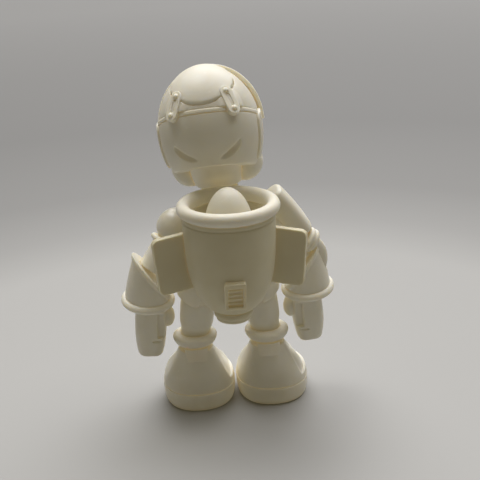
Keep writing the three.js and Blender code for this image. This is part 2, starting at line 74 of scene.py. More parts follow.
NECK = joint_place("neck_turn")
HEAD_TURN = -0.14
LIP_MIDDLE = node_middle("jetpack_lip")
POD_X, POD_Y = LIP_MIDDLE[0], LIP_MIDDLE[1]
COLUMN_Y = joint_place("hip_left_swing")[1] + 1.5

# ---- shapes: a pair of a vertex array and a list of faces ----
TAU = 2 * math.pi


def grid(rows):
    """A closed skin over a stack of rings, with a fan over each end."""
    rows = [np.asarray(row, float) for row in rows]
    around = len(rows[0])
    vertices = np.vstack(rows + [rows[0].mean(0, keepdims=True), rows[-1].mean(0, keepdims=True)])
    faces = []
    for level in range(len(rows) - 1):
        base = level * around
        for i in range(around):
            j = (i + 1) % around
            faces.append((base + i, base + j, base + around + j, base + around + i))
    low_end = len(rows) * around
    top = (len(rows) - 1) * around
    for i in range(around):
        j = (i + 1) % around
        faces.append((j, i, low_end))
        faces.append((top + i, top + j, low_end + 1))
    return vertices, faces


def smooth_through(points, fine):
    """A Catmull-Rom curve through a list of equal-length rows, with `fine` steps between each two."""
    points = np.asarray(points, float)
    padded = np.vstack([2 * points[0] - points[1], points, 2 * points[-1] - points[-2]])
    out = []
    for i in range(1, len(padded) - 2):
        before, start, end, after = padded[i - 1:i + 3]
        for step in range(fine):
            t = step / fine
            out.append(0.5 * (
                2 * start + (end - before) * t + (2 * before - 5 * start + 4 * end - after) * t ** 2
                + (3 * start - before - 3 * end + after) * t ** 3
            ))
    out.append(points[-1])
    return np.array(out)


def ellipse(half_x, half_y, power=2.0, around=72):
    angle = np.arange(around) * TAU / around
    cos, sin = np.cos(angle), np.sin(angle)
    x = half_x * np.sign(cos) * np.abs(cos) ** (2 / power)
    y = half_y * np.sign(sin) * np.abs(sin) ** (2 / power)
    return x, y


def loft(sections, power=2.0, fine=5, around=72, rim=0.0):
    """A smooth skin over sections [z, half width, half depth, middle x, middle y]; rim rounds the ends."""
    full = [list(section) + [0.0] * (5 - len(section)) for section in sections]
    levels = smooth_through(full, fine) if fine > 1 else np.array(full)
    if rim:
        levels = np.array(rounded_end(levels, rim)[::-1])
        levels = np.array(rounded_end(levels, rim)[::-1])
    rows = []
    for z, half_x, half_y, mid_x, mid_y in levels:
        x, y = ellipse(half_x, half_y, power, around)
        rows.append(np.stack([mid_x + x, mid_y + y, np.full_like(x, z)], 1))
    return grid(rows)


def rounded_end(levels, rim, steps=5):
    """Swaps the last section for a quarter round of the given radius."""
    levels = [np.array(level) for level in levels]
    last, before = levels[-1], levels[-2]
    way = np.sign(last[0] - before[0])
    kept = [level for level in levels if way * (last[0] - level[0]) > rim]
    for step in range(steps + 1):
        angle = step / steps * math.pi / 2
        level = last.copy()
        level[0] = last[0] - way * rim * (1 - math.sin(angle))
        level[1] = last[1] - rim * (1 - math.cos(angle))
        level[2] = last[2] - rim * (1 - math.cos(angle))
        kept.append(level)
    return kept


def filleted(profile, radius, steps=4):
    """A polyline with its inner corners rounded."""
    points = [np.array(point, float) for point in profile]
    out = [points[0]]
    for before, corner, after in zip(points, points[1:], points[2:]):
        back, ahead = before - corner, after - corner
        reach = min(radius, 0.45 * np.linalg.norm(back), 0.45 * np.linalg.norm(ahead))
        start = corner + back / np.linalg.norm(back) * reach
        end = corner + ahead / np.linalg.norm(ahead) * reach
        for step in range(steps + 1):
            t = step / steps
            out.append((1 - t) ** 2 * start + 2 * t * (1 - t) * corner + t ** 2 * end)
    out.append(points[-1])
    return out


def turned(profile, radius=0.4, around=96):
    """A lathe about +Z of a profile [radius, height] from the lower axis point to the upper one."""
    outline = filleted(profile, radius)
    angle = np.arange(around) * TAU / around
    rows = [
        np.stack([r * np.cos(angle), r * np.sin(angle), np.full(around, z)], 1)
        for r, z in outline if r > 1e-6
    ]
    vertices, faces = grid(rows)
    vertices[-2] = (0, 0, outline[0][1])
    vertices[-1] = (0, 0, outline[-1][1])
    return vertices, faces


def torus(radius, tube, around=120, section=24):
    big = np.arange(around) * TAU / around
    small = np.arange(section) * TAU / section
    u, v = np.meshgrid(big, small, indexing="ij")
    reach = radius + tube * np.cos(v)
    points = np.stack([reach * np.cos(u), reach * np.sin(u), tube * np.sin(v)], -1).reshape(-1, 3)
    faces = []
    for i in range(around):
        for k in range(section):
            n, m = (i + 1) % around, (k + 1) % section
            faces.append((i * section + k, n * section + k, n * section + m, i * section + m))
    return points, faces


def ball(half_x, half_y=None, half_z=None, around=48, high=32):
    half_y = half_x if half_y is None else half_y
    half_z = half_x if half_z is None else half_z
    rows = []
    for level in range(1, high):
        angle = -math.pi / 2 + math.pi * level / high
        x, y = ellipse(half_x * math.cos(angle), half_y * math.cos(angle), 2, around)
        rows.append(np.stack([x, y, np.full(around, half_z * math.sin(angle))], 1))
    vertices, faces = grid(rows)
    vertices[-2] = (0, 0, -half_z)
    vertices[-1] = (0, 0, half_z)
    return vertices, faces


def box(size_x, size_y, size_z):
    rows = []
    for z in (-size_z / 2, size_z / 2):
        rows.append([(size_x / 2, size_y / 2, z), (-size_x / 2, size_y / 2, z),
                     (-size_x / 2, -size_y / 2, z), (size_x / 2, -size_y / 2, z)])
    return grid(rows)


def prism(outline, depth):
    """An outline [x, z], counter-clockwise, extruded back from y = 0 to y = depth."""
    front = [(x, 0, z) for x, z in outline]
    back = [(x, depth, z) for x, z in outline]
    return grid([back, front])


def rounded_rectangle(width, height, corner, steps=8):
    outline = []
    for quarter, (sx, sz) in enumerate(((1, 1), (-1, 1), (-1, -1), (1, -1))):
        for step in range(steps + 1):
            angle = (quarter + step / steps) * math.pi / 2
            x = sx * (width / 2 - corner) + corner * math.cos(angle)
            z = sz * (height / 2 - corner) + corner * math.sin(angle)
            outline.append((x, z))
    return outline


def plate(width, height, corner, depth):
    return prism(rounded_rectangle(width, height, corner), depth)


def swept(path, radius, around=32, fine=8):
    """A round tube of changing radius along a smooth curve; each path point is [x, y, z]."""
    points = smooth_through(path, fine)
    radii = smooth_through([[r] for r in radius], fine)[:, 0]
    tangents = np.gradient(points, axis=0)
    rows = []
    side = Vector((0, 1, 0))
    for point, tangent, r in zip(points, tangents, radii):
        along = Vector(tangent).normalized()
        side = (side - along * side.dot(along)).normalized()
        other = along.cross(side)
        angle = np.arange(around) * TAU / around
        ring = [Vector(point) + side * (r * math.cos(a)) + other * (r * math.sin(a)) for a in angle]
        rows.append(np.array(ring))
    return grid(rows)


def bar(start, end, radius_start, radius_end=None):
    """A round bar between two points."""
    radius_end = radius_start if radius_end is None else radius_end
    along = Vector(end) - Vector(start)
    shape = loft([[0, radius_start, radius_start], [along.length, radius_end, radius_end]], fine=8)
    turn = Vector((0, 0, 1)).rotation_difference(along.normalized()).to_matrix().to_4x4()
    return placed(shape, Matrix.Translation(Vector(start)) @ turn)


# ---- moving and mixing shapes ----
def placed(shape, matrix):
    vertices, faces = shape
    matrix = np.array(matrix)
    return vertices @ matrix[:3, :3].T + matrix[:3, 3], faces


def moved(shape, x=0.0, y=0.0, z=0.0):
    return placed(shape, Matrix.Translation((x, y, z)))


def spun(shape, axis, angle):
    return placed(shape, Matrix.Rotation(angle, 4, axis))


def mirrored(shape):
    vertices, faces = shape
    return vertices * np.array([-1, 1, 1]), [tuple(reversed(face)) for face in faces]


def sided(shape, side):
    return shape if side > 0 else mirrored(shape)


def new_object(name, shape):
    vertices, faces = shape
    mesh = bpy.data.meshes.new(name)
    mesh.from_pydata([tuple(vertex) for vertex in vertices], [], faces)
    mesh.update()
    made = bpy.data.objects.new(name, mesh)
    bpy.context.scene.collection.objects.link(made)
    return made


def taken(made):
    """Reads an object's evaluated mesh back as a shape and removes the object."""
    bpy.context.view_layer.update()
    graph = bpy.context.evaluated_depsgraph_get()
    mesh = made.evaluated_get(graph).to_mesh()
    vertices = np.empty(len(mesh.vertices) * 3)
    mesh.vertices.foreach_get("co", vertices)
    faces = [tuple(polygon.vertices) for polygon in mesh.polygons]
    old = made.data
    bpy.data.objects.remove(made)
    bpy.data.meshes.remove(old)
    return vertices.reshape(-1, 3), faces


def combine(operation, first, others):
    for other in others:
        base = new_object("base", first)
        tool = new_object("tool", other)
        modifier = base.modifiers.new("combine", "BOOLEAN")
        modifier.operation = operation
        modifier.solver = "MANIFOLD"
        modifier.object = tool
        first = taken(base)
        old = tool.data
        bpy.data.objects.remove(tool)
        bpy.data.meshes.remove(old)
    return first


def join(first, *others):
    return combine("UNION", first, others)


def cut(first, *others):
    return combine("DIFFERENCE", first, others)


def common(first, *others):
    return combine("INTERSECT", first, others)


def softened(shape, voxel=0.35, passes=4):
    """Rounds every edge a little, as in a cast or printed piece."""
    made = new_object("soft", shape)
    remesh = made.modifiers.new("remesh", "REMESH")
    remesh.mode = "VOXEL"
    remesh.voxel_size = voxel
    smooth = made.modifiers.new("smooth", "SMOOTH")
    smooth.factor = 0.5
    smooth.iterations = passes
    return taken(made)


# ---- materials ----
def node(tree, kind, **values):
    made = tree.nodes.new(kind)
    for key, value in values.items():
        setattr(made, key, value)
    return made


def noise(tree, coords, scale, detail, roughness=0.5):
    made = node(tree, "ShaderNodeTexNoise")
    made.inputs["Scale"].default_value = scale
    made.inputs["Detail"].default_value = detail
    made.inputs["Roughness"].default_value = roughness
    tree.links.new(coords, made.inputs["Vector"])
    return made.outputs["Fac"]


def ramp(tree, source, low, high, first, last):
    made = node(tree, "ShaderNodeValToRGB")
    made.color_ramp.elements[0].position = low
    made.color_ramp.elements[0].color = first
    made.color_ramp.elements[1].position = high
    made.color_ramp.elements[1].color = last
    tree.links.new(source, made.inputs["Fac"])
    return made.outputs["Color"]


def grey(value):
    return (value, value, value, 1)


def mixed(tree, factor, first, second):
    """A mix of two colours; each input is a node's output or a plain value."""
    made = node(tree, "ShaderNodeMix", data_type="RGBA")
    sockets = (made.inputs["Factor"], made.inputs["A"], made.inputs["B"])
    for socket, value in zip(sockets, (factor, first, second)):
        if isinstance(value, bpy.types.NodeSocket):
            tree.links.new(value, socket)
        else:
            socket.default_value = value
    return made.outputs["Result"]


RESIN_LIGHT = (0.765, 0.738, 0.635, 1)
RESIN_DARK = (0.71, 0.675, 0.56, 1)
RESIN_CREASE_SHADE = (0.70, 0.59, 0.36, 1)
RESIN_PALE_EDGE = (0.80, 0.78, 0.68, 1)
RESIN_GLOW = (1.0, 0.84, 0.50, 1)


def toned(colour, tone):
    """A colour with its red, green and blue taken down by three shares."""
    return tuple(channel * share for channel, share in zip(colour, (*tone, 1)))


def resin(name, roughness, coat, glow_strength=0.07, tone=(1, 1, 1)):
    """Cast resin: cloudy off-white, with painted amber shade deep in the creases, paler along sharp edges,
    a painted amber glow where little light falls in, faint build layers and fine grain.
    """
    material = bpy.data.materials.new(name)
    material.use_nodes = True
    tree = material.node_tree
    shader = tree.nodes["Principled BSDF"]
    coords = node(tree, "ShaderNodeTexCoord").outputs["Object"]

    cloud = ramp(tree, noise(tree, coords, 55, 3), 0.35, 0.68, grey(0), grey(1))
    body = mixed(tree, cloud, toned(RESIN_DARK, tone), toned(RESIN_LIGHT, tone))
    # Painted shade: an amber tint mixed in deep in creases and hollows, where the occlusion is high.
    crease = node(tree, "ShaderNodeAmbientOcclusion", samples=6)
    crease.inputs["Distance"].default_value = 0.005
    depth = ramp(tree, crease.outputs["AO"], 0.05, 0.65, grey(0.8), grey(0))
    crease_shaded = mixed(tree, depth, body, RESIN_CREASE_SHADE)
    # Paler along sharp convex edges, where the pointiness is high.
    edge = node(tree, "ShaderNodeNewGeometry").outputs["Pointiness"]
    pale_edge = ramp(tree, edge, 0.505, 0.56, grey(0), grey(0.35))
    speck = ramp(tree, noise(tree, coords, 900, 2, 0.7), 0.70, 0.80, grey(0), grey(0.25))
    colour = mixed(tree, speck, mixed(tree, pale_edge, crease_shaded, RESIN_PALE_EDGE), RESIN_DARK)
    tree.links.new(colour, shader.inputs["Base Color"])

    # Painted glow: an amber emission, strongest where little light falls in, stands in for light that has
    # spread through the resin.
    hollow = node(tree, "ShaderNodeAmbientOcclusion", samples=6)
    hollow.inputs["Distance"].default_value = 0.025
    glow = ramp(tree, hollow.outputs["AO"], 0.1, 0.7, grey(glow_strength), grey(0))
    tree.links.new(glow, shader.inputs["Emission Strength"])
    shader.inputs["Emission Color"].default_value = RESIN_GLOW

    patches = noise(tree, coords, 160, 4, 0.6)
    gloss = ramp(tree, patches, 0.3, 0.7, grey(roughness - 0.05), grey(roughness + 0.08))
    tree.links.new(gloss, shader.inputs["Roughness"])

    layers = node(tree, "ShaderNodeTexWave", wave_type="BANDS", bands_direction="Z", wave_profile="SIN")
    layers.inputs["Scale"].default_value = 1000
    layers.inputs["Distortion"].default_value = 0.6
    tree.links.new(coords, layers.inputs["Vector"])
    grain = noise(tree, coords, 1400, 3, 0.6)
    swell = noise(tree, coords, 130, 2)
    relief = None
    for source, strength, distance in ((layers.outputs["Fac"], 0.10, 0.00005), (grain, 0.18, 0.00006),
                                       (swell, 0.25, 0.0004)):
        bump = node(tree, "ShaderNodeBump")
        bump.inputs["Strength"].default_value = strength
        bump.inputs["Distance"].default_value = distance
        tree.links.new(source, bump.inputs["Height"])
        if relief is not None:
            tree.links.new(relief, bump.inputs["Normal"])
        relief = bump.outputs["Normal"]
    tree.links.new(relief, shader.inputs["Normal"])

    shader.inputs["Subsurface Weight"].default_value = 0.9
    shader.inputs["Subsurface Radius"].default_value = (1.0, 0.9, 0.7)
    shader.inputs["Subsurface Scale"].default_value = 0.002
    shader.inputs["IOR"].default_value = 1.5
    shader.inputs["Specular IOR Level"].default_value = 0.45
    shader.inputs["Coat Weight"].default_value = coat
    shader.inputs["Coat Roughness"].default_value = 0.25
    return material


RESIN = resin("resin_satin", 0.46, 0.0)
RESIN_GLOSS = resin("resin_gloss", 0.3, 0.35)
# A copy of the resin with a doubled painted glow, which lifts the neck guard out of its shade.
RESIN_STRONG_GLOW = resin("resin_strong_painted_glow", 0.46, 0.0, 0.14)
# Painted shade: a darker, yellower copy of the resin with a weaker painted glow, for the jetpack pieces.
RESIN_SHADED = resin("resin_painted_shade", 0.46, 0.0, 0.05, (0.80, 0.765, 0.63))


# ---- publishing a piece ----
def publish(name, shape, cad_node, material=RESIN):
    """Puts a shape into metres as the named piece that stands for one CAD node."""
    vertices, faces = shape
    piece = new_object(name, (vertices * MM, faces))
    for polygon in piece.data.polygons:
        polygon.use_smooth = True
    piece.data.materials.append(material)
    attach(piece, BODY_OF[cad_node])
    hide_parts(cad_node)
    return piece


# ---- head, built upright about the neck's pivot ----
HEAD_TILT = math.atan2(joint_axis("neck_turn").x, joint_axis("neck_turn").z)
HEAD_LEANING = Matrix.Rotation(HEAD_TILT, 4, "Y") @ Matrix.Rotation(HEAD_TURN, 4, "Z")
HEAD_PLACE = Matrix.Translation(NECK) @ HEAD_LEANING
SEAM = 0.15  # the open line between two fitted pieces
BIG = 60  # larger than any piece, for cutting blocks
SKULL_SHIFT = 3.5
SKULL_MIDDLE = 25.6
HEM_HEIGHT, HEM_SLOPE = 7.4, 0.36
RIDGE_HEIGHT, RIDGE_SLOPE, RIDGE_WIDTH = 27.6, 0.41, 1.9
DOME_RADIUS, DOME_TILT = 12.5, 0.33
FACE_WIDTH, FACE_HEIGHT, FACE_Z, FACE_BACK = 27, 19, 19.5, -11.5
EYE_X, EYE_Z, EYE_RADIUS = 6.6, 22.6, 4.3
GRILLE_WIDTH, GRILLE_HEIGHT, GRILLE_Z = 9, 2.8, 13.4
JAW_HALF, JAW_PLACE, JAW_FULLNESS = (6.6, 8.2, 7.2), (12, -3, 7.6), 0.8
SCOOP_HALF, SCOOP_PLACE, SCOOP_SLANT = (6.8, 3.2, 3.1), (9.2, 20.1, 20.2), 0.6
EAR_WIDTH, EAR_HEIGHT, EAR_Y, EAR_Z = 13, 19, 3.4, 20.5
LINK_HALF, LINK_OUTER, LINK_SLOT, LINK_STUD = 3.6, 2.6, 0.7, 1.15
LINK_LEAN, LINK_ROUND, LINK_REACH, LINK_Z = 0.62, 0.62, 19.5, 39.5
HOOP_OUTSIDE, HOOP_INSIDE, HOOP_DEPTH, HOOP_Y, HOOP_Z, HOOP_LEAN = 2.3, 1.1, 4, -5, 24.4, 0.3
GUARD_RADIUS = 10.5


def head_form(grow=0.0, levels=44, around=96):
    sections = []
    low, high = -1.18, math.pi / 2 - 0.03
    for i in range(levels + 1):
        angle = low + (high - low) * i / levels
        lift = math.sin(angle)
        half_x = 20.9 * math.cos(angle) ** (1.12 if lift > 0 else 0.42)
        half_y = 21.8 * math.cos(angle) ** (1.05 if lift > 0 else 0.9)
        z = SKULL_MIDDLE + lift * (25 if lift > 0 else 21.6)
        sections.append([z + math.copysign(grow, lift), half_x + grow, half_y + grow, 0, SKULL_SHIFT])
    return loft(sections, 2.1, fine=1, around=around)


def above(height, slope):
    block = moved(box(BIG * 2, BIG * 2, BIG * 2), z=BIG)
    return moved(spun(block, "X", slope), y=SKULL_SHIFT, z=height)


def below(height, slope):
    block = moved(box(BIG * 2, BIG * 2, BIG * 2), z=-BIG)
    return moved(spun(block, "X", slope), y=SKULL_SHIFT, z=height)


def in_front_of(limit):
    return moved(box(BIG * 2, BIG * 2, BIG * 4), y=limit - BIG)


def behind(limit):
    return moved(box(BIG * 2, BIG * 2, BIG * 4), y=limit + BIG)


def face_prism(grow=0.0):
    return moved(plate(FACE_WIDTH + grow, FACE_HEIGHT + grow, 6, BIG), y=FACE_BACK - BIG, z=FACE_Z)


def eye_disc(side, radius, depth):
    profile = [(0, 0), (radius, 0), (radius, depth * 0.6), (radius * 0.7, depth * 0.92), (0, depth)]
    disc = spun(spun(turned(profile, 0.8), "X", math.pi / 2), "Z", side * 0.3)
    return moved(disc, side * EYE_X, -14.2, EYE_Z)


def neck_guard(grow=0.0):
    """The round guard behind the neck, which deepens and leans back as it rises."""
    sections = [
        [1 - grow, GUARD_RADIUS - 0.6, GUARD_RADIUS - 0.6, 0, 0],
        [4, GUARD_RADIUS + 0.2, GUARD_RADIUS + 0.8, 0, 0.6],
        [8, GUARD_RADIUS + 0.5, GUARD_RADIUS + 3, 0, 2.4],
        [14.5 + grow, GUARD_RADIUS + 0.7, GUARD_RADIUS + 5.2, 0, 4.5],
    ]
    grown = [[z, half_x + grow, half_y + grow, x, y] for z, half_x, half_y, x, y in sections]
    return loft(grown, 2.1, fine=8)


def jaw_lobe(side, grow=0.0):
    x, y, z = JAW_PLACE
    lobe = ball(*(half + grow for half in JAW_HALF))
    return moved(spun(lobe, "Y", side * 0.35), side * x, y, z)


def ear_panel(side, grow=0.0):
    panel = plate(EAR_WIDTH + 2 * grow, EAR_HEIGHT + 2 * grow, 3.5, 5)
    return moved(spun(panel, "Z", side * math.pi / 2), side * 22.2, EAR_Y, EAR_Z)


def scoop(side):
    """A wedge-shaped hollow with a crisp upper edge that fades downwards."""
    x, y, z = SCOOP_PLACE
    hollow = cut(ball(*SCOOP_HALF), moved(box(20, 20, 20), z=10))
    hollow = spun(spun(hollow, "X", -0.25), "Y", -side * SCOOP_SLANT)
    return moved(spun(hollow, "Z", -side * 0.42), side * x, SKULL_SHIFT + y, z)


def stadium(half, radius, steps=16):
    """An upright outline with straight sides and a half round at each end."""
    outline = []
    for end in (1, -1):
        for step in range(steps + 1):
            angle = (0 if end > 0 else math.pi) + math.pi * step / steps
            outline.append((radius * math.cos(angle), end * half + radius * math.sin(angle)))
    return outline


def at_link(shape, side):
    """Moves a shape from the origin onto the helmet's slope, where a strap link lies."""
    shape = moved(spun(shape, "X", LINK_LEAN), y=LINK_REACH, z=LINK_Z)
    return moved(spun(shape, "Z", -side * LINK_ROUND), y=SKULL_SHIFT)


def strap_link(side):
    """An oval ring with a stud at each end, lying on the helmet's slope."""
    loop = moved(prism(stadium(LINK_HALF, LINK_OUTER), 3.4), y=-3.6)
    slot = moved(prism(stadium(LINK_HALF - 1.6, LINK_SLOT), 8), y=-6)
    stud = ball(LINK_STUD, 1.1, LINK_STUD, 32, 20)
    studs = [moved(stud, y=-0.3, z=end * (LINK_HALF + 0.3)) for end in (1, -1)]
    return at_link(join(cut(loop, slot), *studs), side)


def link_boss(side):
    """The soft swelling of the helmet round each strap link."""
    return at_link(moved(ball(6.2, 3.2, 8.8), y=-3.6), side)


def dome_core(grow=0.0):
    """The round column that the dome cap fills, leaning back from the head's middle."""
    column = bar((0, 0, 8 - grow), (0, 0, BIG), DOME_RADIUS + grow)
    return moved(spun(column, "X", -DOME_TILT), y=SKULL_SHIFT, z=SKULL_MIDDLE)


def visor_hoop():
    slab = moved(box(BIG * 2, HOOP_DEPTH, BIG), z=BIG / 2)
    slab = moved(spun(slab, "X", HOOP_LEAN), y=HOOP_Y, z=HOOP_Z)
    return cut(common(head_form(HOOP_OUTSIDE), slab), head_form(HOOP_INSIDE))


def build_skull(put):
    face = common(head_form(SEAM), face_prism(2 * SEAM))
    ears = [ear_panel(side, SEAM) for side in (1, -1)]
    lobes = [jaw_lobe(side, JAW_FULLNESS + SEAM) for side in (1, -1)]
    skull = cut(head_form(), above(RIDGE_HEIGHT, RIDGE_SLOPE), below(HEM_HEIGHT, HEM_SLOPE))
    skull = cut(skull, neck_guard(SEAM), face, *ears, *lobes, scoop(1), scoop(-1))
    put("skull_shell", softened(skull, 0.4, 4))

    ridge = common(head_form(0.2), above(RIDGE_HEIGHT + SEAM, RIDGE_SLOPE))
    ridge = cut(ridge, above(RIDGE_HEIGHT + RIDGE_WIDTH, RIDGE_SLOPE), face_prism(), *ears)
    put("helmet_ridge", softened(ridge, 0.3, 4))
    bosses = [link_boss(side) for side in (1, -1)]
    band = join(common(head_form(-0.2), above(RIDGE_HEIGHT + RIDGE_WIDTH, RIDGE_SLOPE)), *bosses)
    band = cut(band, dome_core(SEAM), below(RIDGE_HEIGHT + RIDGE_WIDTH, RIDGE_SLOPE))
    put("helmet_band", softened(cut(band, face_prism(), *ears), 0.35, 5))
    put("dome_cap", softened(common(head_form(0.5), dome_core()), 0.35, 4))
    put("visor_hoop", softened(visor_hoop(), 0.2, 3))


def build_face(put):
    skin = cut(common(head_form(0.3), face_prism()), behind(FACE_BACK - SEAM))
    pockets = [eye_disc(side, EYE_RADIUS + SEAM, 12) for side in (1, -1)]
    bed = moved(plate(GRILLE_WIDTH + 4 * SEAM, GRILLE_HEIGHT + 4 * SEAM, 1.5, 9), y=-23, z=GRILLE_Z)
    put("face_plate", softened(cut(skin, *pockets, bed), 0.3, 3))
    grille = moved(plate(GRILLE_WIDTH, GRILLE_HEIGHT, 1.2, 6), y=-21, z=GRILLE_Z)
    grille = common(grille, head_form(0.6), in_front_of(-14.4))
    slits = [moved(box(0.7, 3, 4), x * 1.8, -18.2, GRILLE_Z) for x in (-1.5, -0.5, 0.5, 1.5)]
    put("mouth_vent", softened(cut(grille, *slits), 0.15, 2))


def build_head():
    def put(name, shape, material=RESIN, slot="resin"):
        publish("look_" + name, placed(shape, HEAD_PLACE), name, material)

    build_skull(put)
    build_face(put)
    face = common(head_form(SEAM), face_prism(2 * SEAM))
    for word, side in SIDES.items():
        link = cut(strap_link(side), head_form(0.1))
        put(f"strap_link_{word}", softened(link, 0.16, 3))
        panel = common(ear_panel(side), head_form(0.7))
        panel = cut(panel, head_form(-2), jaw_lobe(side, JAW_FULLNESS + SEAM))
        put(f"ear_panel_{word}", softened(panel, 0.3, 4))
        lobe = cut(jaw_lobe(side, JAW_FULLNESS), neck_guard(SEAM), face)
        put(f"jaw_lobe_{word}", softened(lobe, 0.35, 4))
        put(f"eye_lens_{word}", moved(eye_disc(side, EYE_RADIUS, 4.6), y=-SEAM), RESIN_GLOSS, "resin_lens")
    bore = bar((0, 0, -2), (0, 0, 9), 4.5)
    put("neck_guard", softened(cut(neck_guard(), bore), 0.35, 4), RESIN_STRONG_GLOW)


# ---- torso ----
CHEST_Y = -4
SHOULDER = joint_place("shoulder_left_swing")
HIP = joint_place("hip_left_swing")
SHOULDER_RADIUS = 8.3
PEG_RADIUS, PEG_REACH = 2.6, 8
PELVIS_HALF = 5.2
NECK_POST = 4.2


def build_torso():
    def put(name, shape):
        publish("look_" + name, moved(shape, y=COLUMN_Y), name)

    shoulder = SHOULDER - np.array([0, COLUMN_Y, 0])
    neck = NECK - np.array([0, COLUMN_Y, 0])
    chest = loft([
        [69.4, 14.6, 9.6], [73, 16.4, 10.8], [79, 17.4, 11.3], [86, 17.2, 11.2], [91.5, 15.2, 10.4],
        [95.5, 11.8, 8.8], [97.2, 9.4, 7.4],
    ], 2.5)
    sockets = [sided(moved(ball(SHOULDER_RADIUS + SEAM), *shoulder), side) for side in (1, -1)]
    peg_ends = shoulder.copy()
    peg_ends[0] = PEG_REACH
    sockets += [sided(bar(shoulder, peg_ends, PEG_RADIUS + SEAM), side) for side in (1, -1)]
    post = bar((0, 0, -10), (0, 0, 8), NECK_POST)
    post = moved(spun(post, "Y", HEAD_TILT), *neck)
    post_bed = moved(spun(bar((0, 0, -10.3), (0, 0, 8), NECK_POST + SEAM), "Y", HEAD_TILT), *neck)
    pegs = [moved(bar((0, 4 - 0.3, 80), (0, 13.1, 80), 2.3), side * 7) for side in (1, -1)]
    put("chest_shell", softened(cut(moved(chest, y=CHEST_Y), *sockets, post_bed, *pegs), 0.45, 4))
    put("neck_post", post)
    put("collar_ring", moved(torus(7, 1), neck[0], neck[1], 98.6))
    belt = loft([[66.8, 14.6, 9.6], [67.2, 15.4, 10.4], [68.7, 15.4, 10.4], [69.1, 14.6, 9.6]], 2.5)
    put("waist_belt", moved(belt, y=CHEST_Y))
    core = loft([[47, 3.2, 6], [48.5, 4.4, 8], [54, PELVIS_HALF, 9.4], [62, PELVIS_HALF, 9.6],
                 [66.5, PELVIS_HALF, 9.4]], 2.6, rim=0.8)
    bores = bar((-12, HIP[1] - COLUMN_Y, HIP[2]), (12, HIP[1] - COLUMN_Y, HIP[2]), PEG_RADIUS + SEAM)
    put("pelvis_core", softened(cut(moved(core, y=-2.5), bores), 0.35, 3))


# ---- jetpack ----
POD_BOTTOM, POD_FLOOR, POD_INNER, POD_RIM = 57.2, 86, 15.1, 97.8
LIP_RADIUS, LIP_TUBE, LIP_Z = 17.8, 2.6, 100.7
POD_OUTLINE = [
    (6.5, POD_BOTTOM), (8.4, 57.8), (10.6, 59.6), (13, 62.6), (15.2, 67), (16.8, 72.6), (17.7, 79),
    (18.1, 86), (18.4, 95.2),
]
CONE_OUTLINE = [
    (9.4, POD_FLOOR + 0.3), (9.6, 91), (9.3, 95.4), (8.4, 99.4), (6.8, 103), (4.6, 105.9), (2.2, 107.6),
    (0.6, 108.05),
]
VENT_WIDTH, VENT_HEIGHT, VENT_Z, VENT_LEAN, VENT_REACH = 8.4, 12.6, 69.8, -0.27, 15.6
FIN_INNER, FIN_OUTER, FIN_TOP, FIN_BOTTOM = 17, 30.6, 90.4, 66.6
FIN_SWEEP = {"left": 0.28, "right": 0.38}
FIN_THICKNESS = 2.6


def pod_form(grow=0.0):
    side = [(radius + grow, z) for radius, z in smooth_through(POD_OUTLINE, 5)]
    return turned([(0, POD_BOTTOM - grow)] + side + [(18.4 + grow, 99), (0, 99)], 0.2, 144)


def jetpack_lip():
    """A fat rolled rim whose skirt runs down onto the pod."""
    skirt = cut(
        turned([(0, POD_RIM + 0.1), (18.5, POD_RIM + 0.1), (19.4, 99.4), (18.6, 101), (0, 101)], 0.4, 144),
        moved(bar((0, 0, 90), (0, 0, 110), POD_INNER)),
    )
    return softened(join(moved(torus(LIP_RADIUS, LIP_TUBE, 160, 36), z=LIP_Z), skirt), 0.35, 5)


def vent_place(shape):
    return moved(spun(shape, "X", VENT_LEAN), y=VENT_REACH, z=VENT_Z)


def vent_frame():
    outer = moved(plate(VENT_WIDTH, VENT_HEIGHT, 1, 6), y=-4)
    opening = moved(plate(VENT_WIDTH - 2.6, VENT_HEIGHT - 3.4, 0.5, 10), y=-6, z=-0.5)
    return softened(cut(vent_place(cut(outer, opening)), pod_form(0.05)), 0.15, 3)


def vent_louvre():
    width = VENT_WIDTH - 2.8
    stack = moved(box(width, 2.8, VENT_HEIGHT - 3.6), y=-0.8, z=-0.5)
    for z in (-3, -1, 1, 3):
        stack = join(stack, moved(spun(box(width, 3.2, 1.0), "X", -0.3), y=-0.5, z=z - 0.5))
    return softened(cut(vent_place(stack), pod_form(0.05)), 0.13, 2)


def fin(sweep):
    width = FIN_OUTER - FIN_INNER + 4
    blade = plate(width, FIN_TOP - FIN_BOTTOM, FIN_THICKNESS, FIN_THICKNESS)
    blade = moved(blade, width / 2 - 4, -FIN_THICKNESS / 2, 0)
    blade = moved(spun(spun(blade, "Y", 0.08), "Z", sweep), FIN_INNER, -2, (FIN_TOP + FIN_BOTTOM) / 2)
    return softened(cut(blade, pod_form(0.05)), 0.25, 5)


